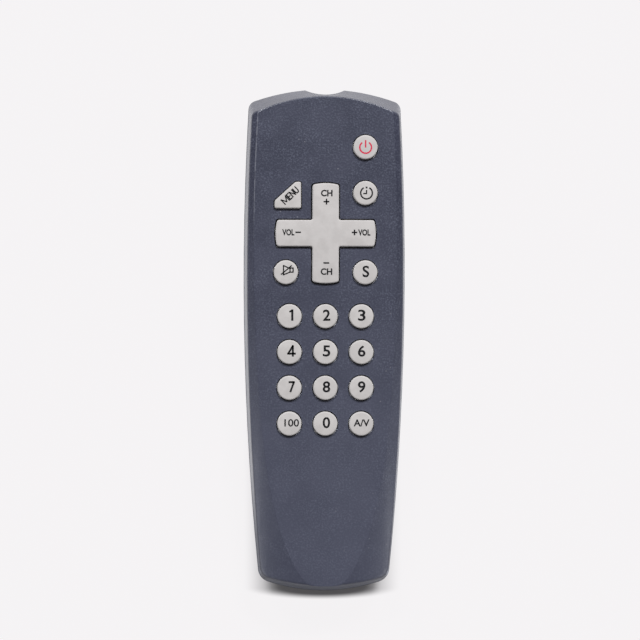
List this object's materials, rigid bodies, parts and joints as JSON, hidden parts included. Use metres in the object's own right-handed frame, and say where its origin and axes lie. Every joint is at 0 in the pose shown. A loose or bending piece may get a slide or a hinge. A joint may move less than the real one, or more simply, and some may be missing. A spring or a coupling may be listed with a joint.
{
  "type": "television remote control",
  "caption": "Hand-held infrared remote control with domed slate-grey case, pale rubber keys, a four-way rocker cross and a sliding battery cover.",
  "frame": {"origin": "middle of the underside, on the surface that the remote lies on", "axes": "+Z out of the key face, +Y towards the infrared end, +X to the right when reading the keys"},
  "size_m": [0.05, 0.1554, 0.0223],
  "materials": {
    "case_plastic": "fine spark-eroded texture, slate grey",
    "key_rubber": "smooth matt silicone, pale grey",
    "carbon": "conductive carbon, matt black",
    "cell_jacket": "plain printed jacket, satin",
    "contact_metal": "nickel plated",
    "board_laminate": "green solder mask",
    "lamp_resin": "clear dark epoxy",
    "part_black": "moulded epoxy",
    "resonator_ceramic": "dipped ceramic",
    "resistor_body": "lacquered carbon film",
    "screw_steel": "zinc plated"
  },
  "bodies": {
    "case": {"front_shell": "case_plastic", "rear_shell": "case_plastic", "battery_left": "cell_jacket", "battery_right": "cell_jacket", "contact_bridge": "contact_metal", "contact_left": "contact_metal", "contact_right": "contact_metal", "spring_low": "contact_metal", "spring_high": "contact_metal", "circuit_board": "board_laminate", "contact_pads": "carbon", "keypad_mat": "key_rubber", "ir_led": "lamp_resin", "ir_led_leads": "contact_metal", "controller_chip": "part_black", "chip_pins": "contact_metal", "resonator": "resonator_ceramic", "capacitor": "part_black", "transistor": "part_black", "resistors": "resistor_body", "case_screw": "screw_steel"},
    "cover": {"battery_cover": "case_plastic"},
    "key_power": {"key_power": "key_rubber", "pill_power": "carbon"},
    "key_timer": {"key_timer": "key_rubber", "pill_timer": "carbon"},
    "key_mute": {"key_mute": "key_rubber", "pill_mute": "carbon"},
    "key_select": {"key_select": "key_rubber", "pill_select": "carbon"},
    "key_one": {"key_one": "key_rubber", "pill_one": "carbon"},
    "key_two": {"key_two": "key_rubber", "pill_two": "carbon"},
    "key_three": {"key_three": "key_rubber", "pill_three": "carbon"},
    "key_four": {"key_four": "key_rubber", "pill_four": "carbon"},
    "key_five": {"key_five": "key_rubber", "pill_five": "carbon"},
    "key_six": {"key_six": "key_rubber", "pill_six": "carbon"},
    "key_seven": {"key_seven": "key_rubber", "pill_seven": "carbon"},
    "key_eight": {"key_eight": "key_rubber", "pill_eight": "carbon"},
    "key_nine": {"key_nine": "key_rubber", "pill_nine": "carbon"},
    "key_hundred": {"key_hundred": "key_rubber", "pill_hundred": "carbon"},
    "key_zero": {"key_zero": "key_rubber", "pill_zero": "carbon"},
    "key_input": {"key_input": "key_rubber", "pill_input": "carbon"},
    "key_menu": {"key_menu": "key_rubber", "pill_menu": "carbon"},
    "pivot": {"nav_pivot": "key_rubber"},
    "cross": {"nav_cross": "key_rubber", "nav_pills": "carbon"}
  },
  "joints": [
    {"name": "cover_slide", "type": "slide", "parent": "case", "child": "cover", "axis": [0, -1, 0], "range_m": [0, 0.066]},
    {"name": "power_press", "type": "slide", "parent": "case", "child": "key_power", "axis": [0, 0, -1], "range_m": [0, 0.001], "stiffness_N_per_m": 1000},
    {"name": "timer_press", "type": "slide", "parent": "case", "child": "key_timer", "axis": [0, 0, -1], "range_m": [0, 0.001], "stiffness_N_per_m": 1000},
    {"name": "mute_press", "type": "slide", "parent": "case", "child": "key_mute", "axis": [0, 0, -1], "range_m": [0, 0.001], "stiffness_N_per_m": 1000},
    {"name": "select_press", "type": "slide", "parent": "case", "child": "key_select", "axis": [0, 0, -1], "range_m": [0, 0.001], "stiffness_N_per_m": 1000},
    {"name": "one_press", "type": "slide", "parent": "case", "child": "key_one", "axis": [0, 0, -1], "range_m": [0, 0.001], "stiffness_N_per_m": 1000},
    {"name": "two_press", "type": "slide", "parent": "case", "child": "key_two", "axis": [0, 0, -1], "range_m": [0, 0.001], "stiffness_N_per_m": 1000},
    {"name": "three_press", "type": "slide", "parent": "case", "child": "key_three", "axis": [0, 0, -1], "range_m": [0, 0.001], "stiffness_N_per_m": 1000},
    {"name": "four_press", "type": "slide", "parent": "case", "child": "key_four", "axis": [0, 0, -1], "range_m": [0, 0.001], "stiffness_N_per_m": 1000},
    {"name": "five_press", "type": "slide", "parent": "case", "child": "key_five", "axis": [0, 0, -1], "range_m": [0, 0.001], "stiffness_N_per_m": 1000},
    {"name": "six_press", "type": "slide", "parent": "case", "child": "key_six", "axis": [0, 0, -1], "range_m": [0, 0.001], "stiffness_N_per_m": 1000},
    {"name": "seven_press", "type": "slide", "parent": "case", "child": "key_seven", "axis": [0, 0, -1], "range_m": [0, 0.001], "stiffness_N_per_m": 1000},
    {"name": "eight_press", "type": "slide", "parent": "case", "child": "key_eight", "axis": [0, 0, -1], "range_m": [0, 0.001], "stiffness_N_per_m": 1000},
    {"name": "nine_press", "type": "slide", "parent": "case", "child": "key_nine", "axis": [0, 0, -1], "range_m": [0, 0.001], "stiffness_N_per_m": 1000},
    {"name": "hundred_press", "type": "slide", "parent": "case", "child": "key_hundred", "axis": [0, 0, -1], "range_m": [0, 0.001], "stiffness_N_per_m": 1000},
    {"name": "zero_press", "type": "slide", "parent": "case", "child": "key_zero", "axis": [0, 0, -1], "range_m": [0, 0.001], "stiffness_N_per_m": 1000},
    {"name": "input_press", "type": "slide", "parent": "case", "child": "key_input", "axis": [0, 0, -1], "range_m": [0, 0.001], "stiffness_N_per_m": 1000},
    {"name": "menu_press", "type": "slide", "parent": "case", "child": "key_menu", "axis": [0, 0, -1], "range_m": [0, 0.001], "stiffness_N_per_m": 1000},
    {"name": "channel_rock", "type": "hinge", "parent": "case", "child": "pivot", "pos_m": [0, 0.033, 0.0163], "axis": [1, 0, 0], "range_deg": [-3.2, 3.2], "stiffness_Nm_per_rad": 0.25},
    {"name": "volume_rock", "type": "hinge", "parent": "pivot", "child": "cross", "pos_m": [0, 0.033, 0.0163], "axis": [0, 1, 0], "range_deg": [-3.2, 3.2], "stiffness_Nm_per_rad": 0.25}
  ]
}
